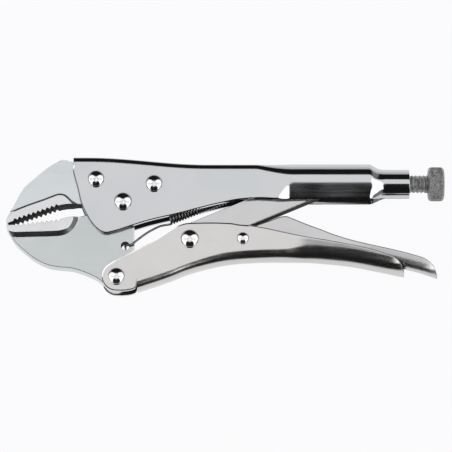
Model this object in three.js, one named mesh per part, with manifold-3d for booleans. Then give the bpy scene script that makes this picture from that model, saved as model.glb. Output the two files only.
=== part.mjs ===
// Locking pliers, jaws closed and the toggle locked, lying on their side.
//
// Millimetres. +X runs from the jaw tips to the knob of the adjusting screw, +Y from the moving
// handle to the fixed handle, +Z out of the side. Until the last lines X is 0 at the jaw tips, Y is 0
// on the screw's axis and Z is 0 on the middle plane that every plate and channel is centred on.
import * as THREE from 'three';
import { mergeVertices } from 'three/addons/utils/BufferGeometryUtils.js';
import Module from 'manifold-3d';

const wasm = await Module();
wasm.setup();
const { smoothstep, degToRad } = THREE.MathUtils;

// Driving dimensions

const GAP = 0.3; // clearance between pieces that turn or slide on each other
const SEAT = 0.15; // clearance under a rivet head
const SIDES = 24; // flats round a pin, head, hub or hole

const JAW_HALF = 4.2; // half the thickness of a jaw plate
const PAD_HALF = 6; // half the width of a toothed pad
const LINK_HALF = 4; // half the thickness of the toggle link
const TOOTH_DEPTH = 1.1;
const TOOTH_COUNT = 10;

const FIXED_SHEET = 2.2; // sheet of the fixed handle
const FIXED_HALF = 6.8; // half its width at the jaws
const GRIP_HALF = 8; // half its width at the grip
const MOVING_SHEET = 2; // sheet of the moving handle
const MOVING_HALF = 6.5; // half its width at the ears
const LEVER_SHEET = 1.4;
const LEVER_HALF = 4.2; // half the release lever's width at its pin
const LEVER_TAIL_HALF = 5;

const JAW_PIVOT = new THREE.Vector2(61.9, -11.1);
const FRONT_JAW_RIVET = new THREE.Vector2(47.7, 1.1);
const REAR_JAW_RIVET = new THREE.Vector2(78.1, -1.4);
const HANDLE_PIVOT = new THREE.Vector2(58.7, -51.2);
const LINK_PIVOT = new THREE.Vector2(96.9, -31.1);
const LINK_END = new THREE.Vector2(170, 0);
const LEVER_PIVOT = new THREE.Vector2(124.6, -30.8);
const SPRING_EYE = new THREE.Vector2(63.2, -34.3);

const JAW_HUB = 8; // radius of the moving jaw's boss round its pivot
const LINK_HUB = 8.5;
const LINK_END_RADIUS = 5.4;
const LINK_TRAVEL = 2; // room for the link's end to move before it meets the screw
const LINK_LOWER = 5; // from the link's centre line to its lower edge

const NECK_START = 191;
const NECK_END = 200;
const COLLAR_END = 212;
const COLLAR_RADIUS = 7.5;
const SCREW_RADIUS = 4.65;
const KNOB_RADIUS = 9.05;
const KNOB_START = 221.8;
const KNOB_END = 230.3;
const KNOB_EDGE = 1.4;
const KNURLS = 36;
const KNURL_DEPTH = 0.35;

const TAB_X = 127; // front face of the tab that holds the spring's rear hook
const TAB_THICK = 2;
const SPRING_RADIUS = 3.1;
const WIRE_RADIUS = 0.65;

// Materials

const metal = (color, roughness) => new THREE.MeshStandardMaterial({ color, roughness, metalness: 1 });
const satinSteel = metal(0xcdcdd2, 0.32);
const jawSteel = metal(0xc8cecf, 0.38);
const rivetSteel = metal(0xd8d8da, 0.15);
const linkSteel = metal(0xc6c4c6, 0.35);
const springSteel = metal(0x3c3c40, 0.4);
const screwSteel = metal(0x7d7d7d, 0.5);

// Solids

const toVectors = (points) => points.map(([x, y]) => new THREE.Vector2(x, y));

function toSolid(geometry) {
  const bare = geometry.index ? geometry.toNonIndexed() : geometry.clone();
  bare.deleteAttribute('normal');
  bare.deleteAttribute('uv');
  const merged = mergeVertices(bare, 1e-4);
  const corners = merged.index.array;
  const kept = [];
  for (let i = 0; i < corners.length; i += 3) {
    const [a, b, c] = corners.slice(i, i + 3);
    if (a !== b && b !== c && c !== a) kept.push(a, b, c);
  }
  const triVerts = new Uint32Array(kept);
  return new wasm.Manifold(
    new wasm.Mesh({ numProp: 3, vertProperties: merged.attributes.position.array, triVerts }),
  );
}

function toMesh(name, solid, material) {
  const { vertProperties, triVerts } = solid.getMesh();
  const geometry = new THREE.BufferGeometry();
  geometry.setAttribute('position', new THREE.BufferAttribute(vertProperties, 3));
  geometry.setIndex(new THREE.BufferAttribute(triVerts, 1));
  geometry.computeVertexNormals();
  const mesh = new THREE.Mesh(geometry, material);
  mesh.name = name;
  return mesh;
}

// A flat plate of the given outline, from half below the middle plane to half above it.
function plate(shape, half, curveSegments = 3) {
  const geometry = new THREE.ExtrudeGeometry(shape, {
    depth: 2 * half,
    bevelEnabled: false,
    curveSegments,
  });
  return toSolid(geometry.translate(0, 0, -half));
}

function polygon(points) {
  return new THREE.Shape(toVectors(points));
}

function pin(centre, radius, half) {
  const geometry = new THREE.CylinderGeometry(radius, radius, 2 * half, SIDES);
  return toSolid(geometry.rotateX(Math.PI / 2).translate(centre.x, centre.y, 0));
}

function box(low, high) {
  const size = high.map((value, i) => value - low[i]);
  const centre = high.map((value, i) => (value + low[i]) / 2);
  return toSolid(new THREE.BoxGeometry(...size).translate(...centre));
}

// A solid turned about the X axis from [x, radius] pairs that start and end on the axis.
function turned(profile, segments = SIDES) {
  const points = profile.map(([x, radius]) => new THREE.Vector2(radius, -x));
  return toSolid(new THREE.LatheGeometry(points.reverse(), segments).rotateZ(Math.PI / 2));
}

// A round wire along a path of [x, y, z] points.
function wire(points, radius) {
  const path = new THREE.CatmullRomCurve3(points.map((p) => new THREE.Vector3(...p)), false, 'centripetal');
  const section = new THREE.Shape();
  section.absarc(0, 0, radius, 0, 2 * Math.PI);
  const steps = 5 * points.length;
  return toSolid(new THREE.ExtrudeGeometry(section, { steps, extrudePath: path, curveSegments: 4 }));
}

// A sheet folded into a channel. Each station gives x, fold (the y of the folded side's outside),
// half (half the outside width), bend (the outside bend radius), lean (how far a wall leans in for
// each mm of its height) and height. side is +1 with the fold on top, -1 with it underneath.
const BEND_STEPS = 5;

function channelSection({ x, fold, half, bend, lean, height }, sheet, side) {
  const radius = Math.min(bend, half - 0.3);
  const path = (inset) => {
    const wall = [];
    wall.push([height, half - inset - lean * (height - radius)]);
    for (let i = 0; i <= BEND_STEPS; i++) {
      const angle = (i / BEND_STEPS) * (Math.PI / 2);
      const reach = radius - inset;
      wall.push([radius - reach * Math.sin(angle), half - radius + reach * Math.cos(angle)]);
    }
    return [...wall, ...wall.map(([depth, z]) => [depth, -z]).reverse()];
  };
  const loop = [...path(0), ...path(sheet).reverse()];
  return loop.map(([depth, z]) => new THREE.Vector3(x, fold - side * depth, z));
}

function channel(stations, sheet, side) {
  const sections = stations.map((station) => channelSection(station, sheet, side));
  const count = sections[0].length;
  const position = sections.flat().flatMap((p) => [p.x, p.y, p.z]);
  const index = [];
  for (let s = 0; s + 1 < sections.length; s++) {
    for (let i = 0; i < count; i++) {
      const next = (i + 1) % count;
      const a = s * count + i;
      const b = s * count + next;
      index.push(a, b + count, b, a, a + count, b + count);
    }
  }
  const flat = (section) => section.map((p) => new THREE.Vector2(side * p.y, p.z));
  const last = (sections.length - 1) * count;
  for (const [a, b, c] of THREE.ShapeUtils.triangulateShape(flat(sections[0]), [])) {
    index.push(c, b, a);
  }
  for (const [a, b, c] of THREE.ShapeUtils.triangulateShape(flat(sections.at(-1)), [])) {
    index.push(last + a, last + b, last + c);
  }
  if (side < 0) index.reverse();
  const geometry = new THREE.BufferGeometry();
  geometry.setAttribute('position', new THREE.Float32BufferAttribute(position, 3));
  geometry.setIndex(index);
  return toSolid(geometry);
}

// Points of a saw-toothed edge from one end to the other. The tips lie on the line and the roots
// lie depth away from it, to the left of the direction of travel.
function teeth(from, to, depth) {
  const along = to.clone().sub(from).divideScalar(TOOTH_COUNT);
  const into = new THREE.Vector2(-along.y, along.x).setLength(depth);
  const points = [];
  for (let i = 0; i < TOOTH_COUNT; i++) {
    points.push(from.clone().addScaledVector(along, i));
    points.push(from.clone().addScaledVector(along, i + 0.5).add(into));
  }
  return [...points, to].map((p) => [p.x, p.y]);
}

// Fixed handle: a deep channel over the jaws, a narrow waist, a round-backed grip, then a neck
// that closes into the collar for the adjusting screw.

function fixedHandleStation(x) {
  const swell = smoothstep(x, 134, 152);
  const neck = smoothstep(x, NECK_START, NECK_END);
  return {
    x,
    fold: 13 - 3.85 * smoothstep(x, 44, 106) + 1.45 * swell - 3.1 * neck,
    half: FIXED_HALF + (GRIP_HALF - FIXED_HALF) * swell - (GRIP_HALF - COLLAR_RADIUS) * neck,
    bend: 2.8 + 5 * swell,
    lean: 0.082 * swell,
    height: 48 - 22 * swell,
  };
}

function fixedHandle() {
  const stations = [34, 44, 52, 60, 68, 76, 84, 92, 100, 106, 134, 137, 140, 143, 146, 149, 152, 171];
  stations.push(NECK_START, 193, 195, 197, 199, 201);
  const shell = channel(stations.map(fixedHandleStation), FIXED_SHEET, 1);
  const side = new THREE.Shape();
  side.moveTo(36, 16);
  side.lineTo(35.5, 8.8);
  side.lineTo(38, -3.7);
  side.splineThru(toVectors([[39.9, -11.5], [44.4, -20.7], [49.5, -26.6], [54, -27.9]]));
  side.lineTo(67.6, -23.7);
  side.lineTo(91.7, -17.3);
  side.lineTo(112.7, -11.9);
  side.splineThru(toVectors([[123, -9.9], [133.6, -9.1], [146, -9.8], [156, -9.5]]));
  side.lineTo(NECK_START, -9.5);
  side.lineTo(NECK_END + 1, -6.6);
  side.lineTo(NECK_END + 1, 16);
  let solid = shell.intersect(plate(side, 12));
  solid = solid.add(turned([
    [NECK_END - 1.5, 0],
    [NECK_END - 1.5, COLLAR_RADIUS],
    [COLLAR_END, COLLAR_RADIUS],
    [COLLAR_END, 0],
  ]));
  solid = solid.subtract(turned([
    [NECK_END - 4, 0],
    [NECK_END - 4, SCREW_RADIUS + GAP],
    [COLLAR_END + 1, SCREW_RADIUS + GAP],
    [COLLAR_END + 1, 0],
  ]));
  solid = solid.add(box([TAB_X, -1.5, -2.5], [TAB_X + TAB_THICK, 7.5, 2.5]));
  const hookHole = new THREE.CylinderGeometry(1.2, 1.2, 3 * TAB_THICK, 12);
  solid = solid.subtract(toSolid(hookHole.rotateZ(Math.PI / 2).translate(TAB_X + TAB_THICK / 2, 1, 0)));
  for (const [centre, radius] of [[FRONT_JAW_RIVET, 3], [REAR_JAW_RIVET, 3], [JAW_PIVOT, 3.2]]) {
    solid = solid.subtract(pin(centre, radius + GAP, 12));
  }
  return toMesh('upper_handle', solid, satinSteel);
}

// Upper jaw: a plate inside the fixed handle with a toothed pad.

function upperJaw() {
  const edge = teeth(new THREE.Vector2(4.4, -21.4), new THREE.Vector2(28.4, -13), TOOTH_DEPTH);
  const back = new THREE.SplineCurve(toVectors([
    [0.5, -21.6], [3.7, -14.1], [9.4, -3], [16.5, 3.2], [22.8, 8.1], [30, 12],
  ])).getPoints(14);
  const side = polygon([
    [1.8, -22.4],
    ...edge,
    [35.3, -12.2],
    [50, -12.4],
  ]);
  side.absarc(JAW_PIVOT.x, JAW_PIVOT.y, JAW_HUB + 2 * GAP, degToRad(170), degToRad(10), true);
  side.lineTo(80, -8.4);
  side.lineTo(85.5, -4);
  side.lineTo(85.5, 5.5);
  side.lineTo(72, 7.6);
  side.lineTo(60, 9.4);
  side.lineTo(46, 10.6);
  side.lineTo(34.4, 10.6);
  for (const { x, y } of [...back].reverse()) side.lineTo(x, y);
  const pad = polygon([
    [1.8, -22.4],
    ...edge,
    [35.3, -12.2], [31.6, -8.4], [28.9, -7.5], [20.4, -10.6], [3, -17.2], [1.2, -20.2],
  ]);
  let solid = plate(side, JAW_HALF, 8).add(plate(pad, PAD_HALF));
  solid = solid.subtract(pin(FRONT_JAW_RIVET, 3 + GAP, 8)).subtract(pin(REAR_JAW_RIVET, 3 + GAP, 8));
  return toMesh('upper_jaw', solid, jawSteel);
}

// Lower jaw: a plate that turns on the jaw pivot, carries the other pad and holds the moving
// handle's pivot and the spring's front hook.

function lowerJaw() {
  const edge = teeth(new THREE.Vector2(29.4, -20.2), new THREE.Vector2(4.9, -23.3), TOOTH_DEPTH);
  const belly = new THREE.SplineCurve(toVectors([
    [0.8, -23.4], [3.8, -29.5], [8.8, -35.3], [16.5, -41.8], [22.8, -44.8], [35.5, -46.2], [41.8, -48.5],
    [48.2, -51.3], [52, -54],
  ])).getPoints(18);
  const side = new THREE.Shape(belly);
  side.absarc(HANDLE_PIVOT.x, HANDLE_PIVOT.y, 7.2, degToRad(205), degToRad(375), false);
  side.lineTo(67.9, -44);
  side.lineTo(67.9, -18);
  side.absarc(JAW_PIVOT.x, JAW_PIVOT.y, JAW_HUB, degToRad(-20), degToRad(200), false);
  side.lineTo(48, -16.6);
  side.lineTo(39.3, -18.4);
  for (const [x, y] of edge) side.lineTo(x, y);
  side.lineTo(2, -23.1);
  const pad = polygon([
    [36.2, -19],
    ...edge,
    [2, -23.1], [1.6, -25], [5.1, -27.4], [28.9, -26.5], [33.5, -24.6],
  ]);
  let solid = plate(side, JAW_HALF, 8).add(plate(pad, PAD_HALF));
  solid = solid.subtract(pin(JAW_PIVOT, 3.2 + GAP, 8)).subtract(pin(HANDLE_PIVOT, 3 + GAP, 8));
  solid = solid.subtract(pin(SPRING_EYE, 1.5, 8));
  return toMesh('lower_jaw', solid, jawSteel);
}

// Moving handle: ears round the handle pivot, then a channel that opens towards the fixed handle.

function movingHandleSpine() {
  const fold = new THREE.SplineCurve(toVectors([
    [50, -64], [60, -60.9], [69.7, -58.2], [86.5, -52.5], [97, -48.3], [107.4, -45.5], [117.9, -43.5],
    [128.4, -42.6], [142, -42.2], [157, -42.4], [170.3, -43.4], [180.8, -44.6], [191.3, -46.6], [212, -51.1],
  ]));
  return fold.getPoints(34).map(({ x, y }) => {
    const swell = smoothstep(x, 143, 160);
    return {
      x,
      fold: y,
      half: MOVING_HALF + (GRIP_HALF - MOVING_HALF) * swell,
      bend: 4.4 + 1.6 * smoothstep(x, 85, 130) + 1.8 * swell,
      lean: 0,
      height: 36,
    };
  });
}

function movingHandle() {
  const side = new THREE.Shape();
  side.moveTo(61.7, -40.2);
  side.lineTo(54.6, -43.8);
  side.absarc(HANDLE_PIVOT.x, HANDLE_PIVOT.y, 7.6, degToRad(125), degToRad(275), false);
  side.lineTo(68, -58.2);
  side.lineTo(69.7, -66);
  side.lineTo(209, -66);
  side.lineTo(209, -50.5);
  side.splineThru(toVectors([[208.6, -47.6], [206.4, -43.8], [202.3, -40.7]]));
  side.lineTo(191.3, -36.7);
  side.lineTo(170.8, -32.3);
  side.lineTo(145.9, -27.5);
  side.lineTo(129.2, -23.9);
  side.lineTo(120, -22.8);
  side.lineTo(96.5, -22.4);
  side.lineTo(91.7, -23.5);
  side.lineTo(79.3, -31.4);
  side.lineTo(66.4, -38.3);
  let solid = channel(movingHandleSpine(), MOVING_SHEET, -1).intersect(plate(side, 12));
  const inside = MOVING_HALF - MOVING_SHEET;
  solid = solid.subtract(box([45, -70, -inside], [69.7, -20, inside]));
  solid = solid.subtract(pin(HANDLE_PIVOT, 3 + GAP, 12)).subtract(pin(LINK_PIVOT, 3.2 + GAP, 12));
  solid = solid.subtract(pin(LEVER_PIVOT, 2 + GAP, 12));
  return toMesh('lower_handle', solid, satinSteel);
}

// Toggle link: drawn along +X from its pivot, then turned towards the screw's tip.

function toggleLink() {
  const span = LINK_END.distanceTo(LINK_PIVOT);
  const slope = LINK_END.clone().sub(LINK_PIVOT).angle();
  const side = new THREE.Shape();
  side.absarc(0, 0, LINK_HUB, degToRad(90), degToRad(324), false);
  side.lineTo(span - 2, -LINK_LOWER);
  side.absarc(span, 0, LINK_END_RADIUS, degToRad(-110), degToRad(90), false);
  side.lineTo(span * 0.56, LINK_HUB);
  const centre = new THREE.Vector2(0, 0);
  const body = plate(side, LINK_HALF, 8).subtract(pin(centre, 3.2 + GAP, 8));
  const mesh = toMesh('toggle_link', body, linkSteel);
  mesh.position.set(LINK_PIVOT.x, LINK_PIVOT.y, 0);
  mesh.rotation.z = slope;
  return mesh;
}

// Release lever: a small channel nested in the moving handle, with a hump under the link.

function leverSpine() {
  const fold = new THREE.SplineCurve(toVectors([
    [110, -35.6], [124, -36.2], [142, -37.4], [157, -37.6], [175, -38.9], [192, -42], [209, -45.9],
    [222, -49.4], [230, -52],
  ]));
  return fold.getPoints(26).map(({ x, y }) => ({
    x,
    fold: y,
    half: LEVER_HALF + (LEVER_TAIL_HALF - LEVER_HALF) * smoothstep(x, 150, 170),
    bend: 2.6 + 2 * smoothstep(x, 150, 185),
    lean: 0,
    height: 24,
  }));
}

function releaseLever() {
  const side = new THREE.Shape();
  side.moveTo(115, -40);
  side.lineTo(115, -32);
  side.lineTo(118, -29.8);
  side.lineTo(128.4, -24.6);
  side.lineTo(144.5, -18.7);
  side.splineThru(toVectors([
    [146.7, -18.2], [149.3, -18.9], [166.2, -25.8], [171, -27.8], [180.8, -31], [202.3, -36.1], [217, -40],
    [224, -44.6], [226.2, -51.5],
  ]));
  side.lineTo(226.2, -60);
  side.lineTo(115, -60);
  let solid = channel(leverSpine(), LEVER_SHEET, -1).intersect(plate(side, 8, 3));
  solid = solid.subtract(pin(LEVER_PIVOT, 2 + GAP, 8));
  return toMesh('release_lever', solid, linkSteel);
}

// Spring: the coil's outer shape with a leg and hook at each end.

function jawSpring() {
  const front = new THREE.Vector3(86.3, -19.1, 0);
  const rear = new THREE.Vector3(115.5, -7.5, 0);
  const length = rear.distanceTo(front);
  const coil = new THREE.CylinderGeometry(SPRING_RADIUS, SPRING_RADIUS, length, 12);
  coil.rotateZ(-Math.PI / 2);
  coil.rotateZ(Math.atan2(rear.y - front.y, rear.x - front.x));
  coil.translate((front.x + rear.x) / 2, (front.y + rear.y) / 2, 0);
  const face = JAW_HALF + GAP + WIRE_RADIUS;
  const hook = wire([
    [87, -20, 1.8],
    [82, -23.3, 3.2],
    [69, -31, face],
    [64.6, -33.6, face],
    [SPRING_EYE.x, SPRING_EYE.y, 3.2],
    [SPRING_EYE.x, SPRING_EYE.y, -1],
  ], WIRE_RADIUS);
  const tail = wire([
    [113.5, -8, 0],
    [118, -4.8, 0],
    [123, -0.8, 0],
    [TAB_X, 1, 0],
    [TAB_X + TAB_THICK + 2.5, 1, 0],
  ], WIRE_RADIUS);
  return toMesh('jaw_spring', toSolid(coil).add(hook).add(tail), springSteel);
}

// Adjusting screw and its knurled knob.

function adjustingScrew() {
  const tip = LINK_END.x + LINK_END_RADIUS + LINK_TRAVEL;
  const solid = turned([
    [tip, 0],
    [tip, SCREW_RADIUS - 1.4],
    [tip + 1.4, SCREW_RADIUS],
    [KNOB_START - SEAT, SCREW_RADIUS],
    [KNOB_START - SEAT, 0],
  ]);
  return toMesh('adjusting_screw', solid, screwSteel);
}

function screwKnob() {
  const outline = new THREE.Shape();
  for (let i = 0; i < 2 * KNURLS; i++) {
    const radius = KNOB_RADIUS - (i % 2) * KNURL_DEPTH;
    const angle = (i * Math.PI) / KNURLS;
    const [y, z] = [radius * Math.cos(angle), radius * Math.sin(angle)];
    if (i) outline.lineTo(y, z);
    else outline.moveTo(y, z);
  }
  const length = KNOB_END - KNOB_START;
  const knurled = new THREE.ExtrudeGeometry(outline, { depth: length, bevelEnabled: false });
  knurled.rotateY(Math.PI / 2).translate(KNOB_START, 0, 0);
  const envelope = turned([
    [KNOB_START, 0],
    [KNOB_START, KNOB_RADIUS - KNOB_EDGE],
    [KNOB_START + KNOB_EDGE, KNOB_RADIUS + 0.1],
    [KNOB_END - KNOB_EDGE, KNOB_RADIUS + 0.1],
    [KNOB_END, KNOB_RADIUS - KNOB_EDGE],
    [KNOB_END, 0],
  ], 2 * SIDES);
  return toMesh('screw_knob', toSolid(knurled).intersect(envelope), screwSteel);
}

// Rivets: a shank with a low flat-topped dome at each end.

function rivet(name, centre, shank, head, height, wallHalf) {
  const seat = wallHalf + SEAT;
  const top = seat + height;
  const half = [
    [seat, shank],
    [seat, head],
    [seat + 0.35 * height, 0.97 * head],
    [seat + 0.75 * height, 0.78 * head],
    [top, 0.5 * head],
    [top, 0],
  ];
  const profile = [...half.map(([x, radius]) => [-x, radius]).reverse(), ...half];
  const solid = turned(profile);
  const mesh = toMesh(name, solid, rivetSteel);
  mesh.rotation.y = -Math.PI / 2;
  mesh.position.set(centre.x, centre.y, 0);
  return mesh;
}

const pliers = new THREE.Group();
pliers.add(
  fixedHandle(),
  upperJaw(),
  rivet('jaw_rivet_front', FRONT_JAW_RIVET, 3, 4.5, 2.1, FIXED_HALF),
  rivet('jaw_rivet_rear', REAR_JAW_RIVET, 3, 4.6, 2.1, FIXED_HALF),
  rivet('jaw_pivot_rivet', JAW_PIVOT, 3.2, 4.8, 2.1, FIXED_HALF),
  jawSpring(),
  lowerJaw(),
  rivet('handle_pivot_rivet', HANDLE_PIVOT, 3, 4.5, 2.2, MOVING_HALF),
  movingHandle(),
  rivet('link_pivot_rivet', LINK_PIVOT, 3.2, 4.9, 2.2, MOVING_HALF),
  rivet('release_lever_pin', LEVER_PIVOT, 2, 3.2, 1.6, MOVING_HALF),
  toggleLink(),
  releaseLever(),
  adjustingScrew(),
  screwKnob(),
);

// Stand the origin under the middle of the whole tool.
const bounds = new THREE.Box3().setFromObject(pliers);
const middle = bounds.getCenter(new THREE.Vector3());
pliers.position.set(-middle.x, -middle.y, -bounds.min.z);

export default pliers;
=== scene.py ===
"""Locking pliers lying on their side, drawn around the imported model.

Outlines are written in millimetres in the tool's own plane: x from the jaw tips, y from the screw's
axis, z from the middle plane. place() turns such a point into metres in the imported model's frame.
"""
import math

import bpy
import bmesh
from mathutils import Matrix, Vector


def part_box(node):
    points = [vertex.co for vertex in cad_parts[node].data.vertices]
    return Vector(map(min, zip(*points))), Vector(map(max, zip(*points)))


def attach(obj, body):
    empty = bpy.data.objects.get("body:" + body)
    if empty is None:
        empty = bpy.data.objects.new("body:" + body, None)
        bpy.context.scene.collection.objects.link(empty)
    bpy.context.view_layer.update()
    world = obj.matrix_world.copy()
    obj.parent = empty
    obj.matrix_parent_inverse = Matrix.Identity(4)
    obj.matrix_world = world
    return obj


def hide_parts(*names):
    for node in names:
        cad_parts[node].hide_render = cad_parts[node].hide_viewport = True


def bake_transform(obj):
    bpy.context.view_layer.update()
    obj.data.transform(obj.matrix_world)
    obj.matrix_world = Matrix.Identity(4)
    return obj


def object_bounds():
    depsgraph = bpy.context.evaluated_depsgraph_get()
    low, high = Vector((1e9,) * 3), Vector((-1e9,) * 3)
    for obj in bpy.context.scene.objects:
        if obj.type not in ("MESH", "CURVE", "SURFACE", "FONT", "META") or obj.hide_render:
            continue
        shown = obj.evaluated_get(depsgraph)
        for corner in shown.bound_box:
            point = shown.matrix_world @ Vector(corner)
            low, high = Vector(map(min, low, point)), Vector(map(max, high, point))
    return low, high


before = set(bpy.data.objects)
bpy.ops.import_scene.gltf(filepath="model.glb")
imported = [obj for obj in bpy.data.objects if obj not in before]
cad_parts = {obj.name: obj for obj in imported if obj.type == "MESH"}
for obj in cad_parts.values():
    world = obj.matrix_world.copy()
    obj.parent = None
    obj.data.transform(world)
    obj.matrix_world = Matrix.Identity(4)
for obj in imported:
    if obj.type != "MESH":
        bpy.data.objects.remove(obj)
cad_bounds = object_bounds()

# ---------------------------------------------------------------- places taken from the frame

MM = 0.001
KNOB_END = 230.3  # the knob's rear face, in millimetres along x like the sizes below
knob_low, knob_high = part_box("screw_knob")
ORIGIN = Vector((
    knob_high.x - KNOB_END * MM,
    (knob_low.y + knob_high.y) / 2,
    (knob_low.z + knob_high.z) / 2,
))


def place(x, y, z=0.0):
    return ORIGIN + Vector((x, y, z)) * MM


def centre_of(node):
    """A node's centre in the tool's plane, in millimetres."""
    low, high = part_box(node)
    middle = (low + high) / 2 - ORIGIN
    return middle.x / MM, middle.y / MM


JAW_PIVOT = centre_of("jaw_pivot_rivet")
HANDLE_PIVOT = centre_of("handle_pivot_rivet")
LINK_PIVOT = centre_of("link_pivot_rivet")
LINK_END = (170.0, 0.0)
SPRING_EYE = (63.2, -34.3)
EYE_RADIUS = 2.3

# ---------------------------------------------------------------- sizes, in millimetres

JAW_HALF = 4.2
PAD_HALF = 6.0
RAMP_WIDTH = 2.4
TOOTH_DEPTH = 1.1
TOOTH_COUNT = 10
BITE_REACH = 1.1  # how near a point of the bite an edge face's centre has to be to take the black painted shade
JAW_HUB = 8.0

FIXED_SHEET = 2.2
FIXED_HALF = 6.8
GRIP_HALF = 8.0
FLAT_END = 131.0
GRIP_CREASE = 0.0  # height below which the grip's walls lean inwards
GRIP_LEAN = 0.2  # and how far for each millimetre below it
COLLAR_WALL = 2.0
COLLAR_RADIUS = 7.7
COLLAR_HALF = 6.95
COLLAR_START = 199.8
COLLAR_END = 212.0
NECK_START = 190.8
SEAM_HALF_ANGLE = math.radians(4)

EDGE_ROLL = 0.6  # width of the strip along a free edge that a press turns down
EDGE_DROP = 0.22  # and how far it turns down
SHEET_ROUNDING = 0.25

MOVING_SHEET = 2.0
MOVING_HALF = 6.5
LEVER_SHEET = 1.4
LEVER_HALF = 4.2
LEVER_TAIL_HALF = 5.0

LINK_HALF = 4.0
LINK_HUB = 8.5
LINK_END_RADIUS = 5.4
LINK_LOWER = 5.0

SCREW_RADIUS = 4.65
SCREW_TIP = 177.4
SCREW_PITCH = 2.0
THREAD_DEPTH = 0.55
KNOB_RADIUS = 9.05
KNOB_START = 221.8
KNURL_DEPTH = 0.378
KNURL_SLANT = 0.62  # knurls that a groove crosses in a millimetre along the knob

SPRING_OUTER = 3.1
SPRING_WIRE = 0.58
SPRING_TURNS = 19


# ---------------------------------------------------------------- shape helpers

def smoothstep(value, low, high):
    t = min(max((value - low) / (high - low), 0.0), 1.0)
    return t * t * (3 - 2 * t)


def through(points):
    """A smooth function y(x) through points in order of x, with no overshoot between them."""
    xs = [p[0] for p in points]
    ys = [p[1] for p in points]
    slopes = [(ys[i + 1] - ys[i]) / (xs[i + 1] - xs[i]) for i in range(len(xs) - 1)]
    tangents = [slopes[0]]
    for before, after in zip(slopes, slopes[1:]):
        tangents.append(0.0 if before * after <= 0 else 2 * before * after / (before + after))
    tangents.append(slopes[-1])

    def value(x):
        i = max(0, min(len(xs) - 2, sum(1 for known in xs if known <= x) - 1))
        width = xs[i + 1] - xs[i]
        t = min(max((x - xs[i]) / width, 0.0), 1.0)
        return (
            ys[i] * (1 + 2 * t) * (1 - t) ** 2
            + tangents[i] * width * t * (1 - t) ** 2
            + ys[i + 1] * t * t * (3 - 2 * t)
            + tangents[i + 1] * width * t * t * (t - 1)
        )

    return value


def rounded(points, steps=4):
    """A smooth open line through the points, as a list of (x, y)."""
    line = []
    for i in range(len(points) - 1):
        p0 = points[max(i - 1, 0)]
        p1, p2 = points[i], points[i + 1]
        p3 = points[min(i + 2, len(points) - 1)]
        for k in range(steps):
            t = k / steps
            line.append(tuple(
                0.5 * (2 * b + (c - a) * t + (2 * a - 5 * b + 4 * c - d) * t * t
                       + (3 * b - a - 3 * c + d) * t ** 3)
                for a, b, c, d in zip(p0, p1, p2, p3)
            ))
    return line + [tuple(points[-1])]


def arc(centre, radius, start, end, steps=16):
    angles = [math.radians(start + (end - start) * i / steps) for i in range(steps + 1)]
    return [(centre[0] + radius * math.cos(a), centre[1] + radius * math.sin(a)) for a in angles]


def span(low, high, count):
    return [low + (high - low) * i / (count - 1) for i in range(count)]


def new_object(name, points, faces, rim_start=None):
    """A mesh object from points in the tool's millimetres, with its faces turned outwards.

    For a sheet, rim_start is the first face of its cut edge. The faces before it are the outside and
    then the inside, which takes the object's second material. The cut edge's corners get a bevel
    weight."""
    mesh = bpy.data.meshes.new(name)
    mesh.from_pydata([place(*p) for p in points], [], faces)
    tool = bmesh.new()
    tool.from_mesh(mesh)
    tool.faces.ensure_lookup_table()
    if rim_start is not None:
        for face in tool.faces[rim_start // 2:rim_start]:
            face.material_index = 1
        rims = set(tool.faces[rim_start:])
        weight = tool.edges.layers.float.new("bevel_weight_edge")
        for edge in tool.edges:
            edge[weight] = float(sum(face in rims for face in edge.link_faces) == 1)
    bmesh.ops.remove_doubles(tool, verts=tool.verts, dist=1e-7)
    bmesh.ops.recalc_face_normals(tool, faces=tool.faces)
    tool.to_mesh(mesh)
    tool.free()
    mesh.polygons.foreach_set("use_smooth", [True] * len(mesh.polygons))
    obj = bpy.data.objects.new(name, mesh)
    bpy.context.scene.collection.objects.link(obj)
    return obj


def soften(obj, width, angle=None):
    """Rounds the edges sharper than angle, or the weighted ones, and keeps flat faces flat."""
    bevel = obj.modifiers.new("edges", "BEVEL")
    bevel.width = width * MM
    bevel.segments = 2
    bevel.limit_method = "WEIGHT" if angle is None else "ANGLE"
    bevel.angle_limit = math.radians(angle or 30)
    bevel.use_clamp_overlap = True
    bevel.miter_outer = "MITER_ARC"
    normals = obj.modifiers.new("normals", "WEIGHTED_NORMAL")
    normals.keep_sharp = True
    return obj


def roll_edges(obj, level):
    """Turns the flat faces at plus and minus level down at their free edges, as a press leaves them."""
    tool = bmesh.new()
    tool.from_mesh(obj.data)
    middle = ORIGIN.z
    caps = [
        face for face in tool.faces
        if abs(face.normal.z) > 0.999 and len(face.verts) > 8
        and abs(abs(face.calc_center_median().z - middle) - level * MM) < 1e-5
        and face.normal.z * (face.calc_center_median().z - middle) > 0
    ]
    free = set()
    for face in caps:
        for edge in face.edges:
            if any(abs(other.normal.z) < 0.3 for other in edge.link_faces):
                free.update(edge.verts)
    bmesh.ops.inset_region(
        tool, faces=caps, thickness=EDGE_ROLL * MM, use_even_offset=True, use_boundary=True,
    )
    for vertex in free:
        vertex.co.z -= math.copysign(EDGE_DROP * MM, vertex.co.z - middle)
    tool.to_mesh(obj.data)
    tool.free()
    return obj


def apply_modifiers(obj):
    bpy.context.view_layer.update()
    graph = bpy.context.evaluated_depsgraph_get()
    mesh = bpy.data.meshes.new_from_object(obj.evaluated_get(graph))
    obj.modifiers.clear()
    obj.data = mesh
    return obj


def add_piece(obj, body, slot, material, *nodes):
    if material is not None:
        obj.data.materials.append(material)
    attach(obj, body)
    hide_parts(*nodes)
    return obj


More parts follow.
